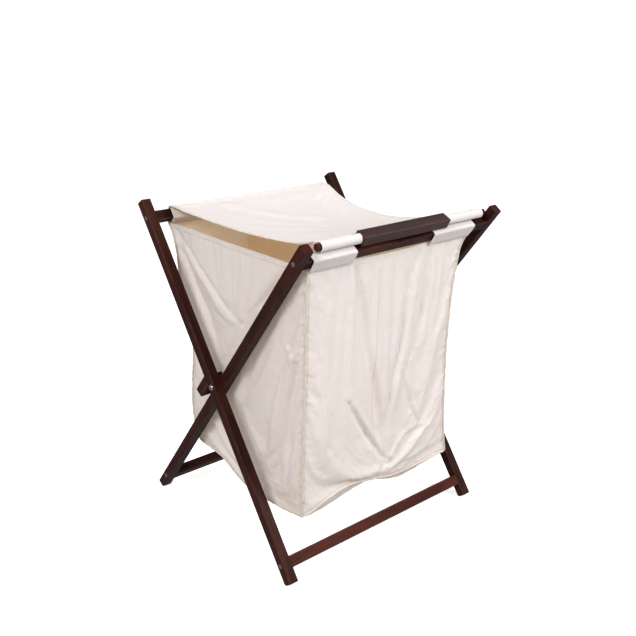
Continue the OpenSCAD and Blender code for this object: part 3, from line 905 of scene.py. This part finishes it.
seamFrontLeft = beadAlong("frontLeftSeam", front, "left", (-0.7, -0.9, 0), 1.3, 1.0)
seamFrontRight = beadAlong("frontRightSeam", front, "right", (0.7, -0.7, 0), 1.2, 2.0)
seamFrontBottom = beadAlong("frontBottomSeam", front, "bottom", (0, -0.5, -0.6), 1.1, 3.0)
seamLeftBottom = beadAlong("leftBottomSeam", left, "bottom", (-0.6, 0, -0.6), 1.0, 4.0)
seamRearLeft = beadAlong("rearLeftSeam", rear, "right", (-0.7, 0.7, 0), 1.1, 5.0)
seamRearRight = beadAlong("rearRightSeam", rear, "left", (0.7, 0.7, 0), 1.1, 6.0)
seamRearBottom = beadAlong("rearBottomSeam", rear, "bottom", (0, 0.5, -0.6), 1.0, 7.0)
seamRightBottom = beadAlong("rightBottomSeam", right, "bottom", (0.6, 0, -0.6), 1.0, 8.0)


def rowAt(surface, size, side, distance, start=0.0, end=1.0):
    # a dense line of places a fixed distance in from one edge
    share = np.linspace(start, end, 240)
    if side in ("top", "bottom"):
        v = 1 - distance / size[1] if side == "top" else distance / size[1]
        return onSheet(surface, share, np.full_like(share, v))
    u = 1 - distance / size[0] if side == "right" else distance / size[0]
    return onSheet(surface, np.full_like(share, u), share)


def shareOf(surface, x):
    return float(np.interp(x, surface[-1, :, 0], np.linspace(0, 1, surface.shape[1])))


cutLeft, cutRight = shareOf(front, bagSet["cutout"][0]), shareOf(front, bagSet["cutout"][1])
dividerShare = shareOf(front, dividerX - 3)
frontStitches = stitches("frontStitches", [
    rowAt(front, frontSize, "top", 3, cutLeft + 0.01, cutRight - 0.01),
    rowAt(front, frontSize, "left", 5, 0.0, 0.97), rowAt(front, frontSize, "right", 5, 0.0, 0.97),
    rowAt(front, frontSize, "bottom", 5),
    onSheet(front, np.linspace(dividerShare + 0.03, dividerShare - 0.004, 240),
            np.linspace(0.13, 0.94, 240))],
    "bag", "bag")


def sideStitches(name, surface, size):
    return stitches(name, [
        rowAt(surface, size, "top", 2.5), rowAt(surface, size, "top", 9),
        rowAt(surface, size, "right", 5, 0.0, 0.97), rowAt(surface, size, "left", 5, 0.0, 0.97),
        rowAt(surface, size, "bottom", 5)], "bag", "bag")


leftStitches = sideStitches("leftStitches", left, leftSize)
rightStitches = sideStitches("rightStitches", right, rightSize)
rearStitches = stitches("rearStitches", [
    rowAt(rear, rearSize, "left", 5, 0.0, 0.97), rowAt(rear, rearSize, "right", 5, 0.0, 0.97),
    rowAt(rear, rearSize, "bottom", 5),
    onSheet(rear, np.full(240, 1 - dividerShare), np.linspace(0.02, 0.94, 240))], "bag", "bag")
print("seams sewn")

finishSheet(
    "bagFrontPanel", front, (0.392, 0.452), "bag", (canvas, lining), ["bag_front_panel"],
    flattens="bag")
for side, surface, sewn in (("Left", left, [leftStitches, seamLeftBottom]),
                            ("Right", right, [rightStitches, seamRightBottom])):
    finishSheet("bag%sPanel" % side, surface, (0.400, 0.462), "bag", (canvas, lining),
                ["bag_%s_panel" % side.lower()], flattens="bag")
finishSheet(
    "bagRearPanel", rear, (0.392, 0.452), "bag", (canvas, lining), ["bag_rear_panel"],
    flattens="bag")
finishSheet(
    "bagFloor", floorCloth, (0.392, 0.322), "bag", (canvas, lining), ["bag_floor"],
    flattens="bag")
finishSheet(
    "bagDivider", divider, (0.392, 0.436), "bag", (lining,), ["bag_divider"],
    offset=0, flattens="bag")
print("bag made")


# sleeves round the rails and the bar

def rounded(corners, cuts=3):
    # an open line with its inner corners cut round
    line = np.array(corners, float)
    for _ in range(cuts):
        a, b = line[:-1], line[1:]
        mixed = np.empty((2 * len(a), line.shape[1]))
        mixed[0::2], mixed[1::2] = 0.75 * a + 0.25 * b, 0.25 * a + 0.75 * b
        line = np.vstack([line[:1], mixed[1:-1], line[-1:]])
    return line


def evenly(line, count):
    gaps = np.linalg.norm(np.diff(line, axis=0), axis=1)
    along = np.concatenate([[0], np.cumsum(gaps)])
    t = np.linspace(0, along[-1], count)
    return np.stack([np.interp(t, along, line[:, k]) for k in range(line.shape[1])], axis=1), along[-1]


def railLoop(lean, clear, tail, side):
    # a diamond round a rail, open at the bottom, with two layers hanging below it; side is -1 at the front
    wide, high = 9.0 + clear, 9.5 + clear
    t = math.radians(lean)
    turned = lambda y, z: (y * math.cos(t) - z * math.sin(t), y * math.sin(t) + z * math.cos(t))
    low, near, top, far = (-wide, -high), (-wide, high), (wide, high), (wide, -high)
    if lean < 0:
        low, near, top, far = ((-y, z) for y, z in (low, near, top, far))
    low, near, top, far = (turned(*c) for c in (low, near, top, far))
    outer = (side * 3.2, -tail)
    inner = (-side * 1.6, -tail + 2)
    lowOut, lowIn = (low[0] + side * 4.6, low[1] + 2.6), (low[0] - side * 2.4, low[1] + 0.6)
    between = lambda a, b, k: (a[0] * (1 - k) + b[0] * k, a[1] * (1 - k) + b[1] * k)
    return [outer, between(outer, lowOut, 0.8),
            lowOut, between(lowOut, near, 0.12), between(lowOut, near, 0.88),
            near, between(near, top, 0.12), between(near, top, 0.88),
            top, between(top, far, 0.12), between(top, far, 0.88),
            far, between(far, lowIn, 0.12), between(far, lowIn, 0.9), lowIn, inner]


def sleeve(name, loop, centre, ends, body, replaced, restsOn, seed, loose=0.5, material=None, lines=(),
           flare=0.0, slant=None, calm=None):
    loop, around = evenly(rounded(loop), 84)
    x0, x1 = ends
    columns = cells(x1 - x0, 3.0)
    x = np.linspace(x0, x1, columns + 1)[None]
    rows = len(loop)
    surface = np.zeros((rows, columns + 1, 3))
    surface[..., 0] = x
    if slant:  # the right end runs in towards the bottom
        share = (x - x0) / (x1 - x0)
        surface[..., 0] += share * np.interp(loop[:, 1], *slant)[:, None]
    surface[..., 1] = centre[1] + loop[:, :1]
    surface[..., 2] = centre[2] + loop[:, 1:2]
    outward = normalsOf(surface)
    if np.sum(outward[rows // 2, 0] * (surface[rows // 2, 0] - [x0, centre[1], centre[2]])) < 0:
        surface = surface[:, ::-1]
        outward = normalsOf(surface)
    lift = loose * (0.5 + 0.5 * cloud(surface, 26, seed))
    lift = lift + loose * 0.25 * (1 + cloud(surface, 9, seed + 1))
    edge = np.minimum(np.arange(columns + 1), np.arange(columns + 1)[::-1])[None]
    lift = lift + flare * np.exp(-edge / 2.0)
    if calm is not None:  # kept flat where another sleeve lies on it
        lift = lift * np.interp(loop[:, 1], *calm)[:, None]
    surface = surface + outward * lift[..., None]
    made = []
    for distance in lines:
        v = distance / around if distance > 0 else 1 + distance / around
        line, normals = onSheet(surface, np.linspace(0.01, 0.99, 160), np.full(160, v))
        made.append((line + normals * 1.1, normals))
    sewn = [stitches(name + "Stitches", made, body)] if made else []
    finishSheet(name, surface, (abs(x1 - x0) * mm, around * mm), body, (material or sleeveCanvas,),
                replaced, thickness=1.1, offset=1)


bagX = (-198.5, 178)
frontLoop = railLoop(legTilt, 0.8, 17.5, -1)
calmTop = ([2, 9], [1, 0.35])
sleeve("bagFrontLeftSleeve", frontLoop, frontRail, (-199, bagSet["cutout"][0]), "front_frame",
       ["bag_front_left_sleeve"], ["front_top_rail"], 51, 0.7, lines=(2.5,), flare=0.5, calm=calmTop)
sleeve("bagFrontRightSleeve", frontLoop, frontRail, (bagSet["cutout"][1], 190), "front_frame",
       ["bag_front_right_sleeve"], ["front_top_rail"], 52, 0.7, lines=(2.5,), flare=0.5, calm=calmTop,
       slant=([-17, -12, 0], [-7, -4, 0]))
rearLoop = railLoop(-legTilt, 0.8, 20, 1)
sleeve("bagRearSleeve", rearLoop, rearRail, bagX, "rear_frame", ["bag_rear_sleeve"], ["rear_top_rail"], 53, 0.5,
       lines=(2.5,))
lidLoop = railLoop(-legTilt, 2.9, 20.5, 1)
sleeve("lidRearSleeve", lidLoop[1:-1], rearRail, (-197, 176), "rear_frame", ["lid_rear_sleeve"],
       ["bagRearSleeve"], 54, 0.5, lines=(6,))


def barLoop(radius):
    tailTop = [(15.5, 1.2), (11, 3.4)]
    turn = [(radius * math.cos(a), radius * math.sin(a)) for a in np.radians(np.arange(52, 330, 14))]
    return tailTop + turn + [(11, -2.2), (15.5, -0.4)]


dowelLow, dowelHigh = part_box("lid_left_dowel")
barRadius = (dowelHigh[2] - dowelLow[2]) / mm / 2 + 0.7
for side, seed in (("left", 55), ("right", 56)):
    low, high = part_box("lid_%s_sleeve" % side)
    sleeve("lid%sSleeve" % side.title(), barLoop(barRadius), barMiddle, (low[0] / mm, high[0] / mm), "lid",
           ["lid_%s_sleeve" % side], ["lid_%s_dowel" % side], seed, 0.55, brightCanvas, lines=(3.0,),
           flare=0.25)
print("sleeves made")


# the lid

lidStitches = stitches("lidStitches", [
    rowAt(lid, lidSize, "left", 2.5), rowAt(lid, lidSize, "left", 10),
    rowAt(lid, lidSize, "right", 2.5), rowAt(lid, lidSize, "right", 10),
    rowAt(lid, lidSize, "bottom", 11)], "lid", "lid")
finishSheet(
    "lidCloth", lid, (0.410, 0.425), "lid", (brightCanvas, lining), ["lid_cloth"],
    flattens="lid")
print("lid made")
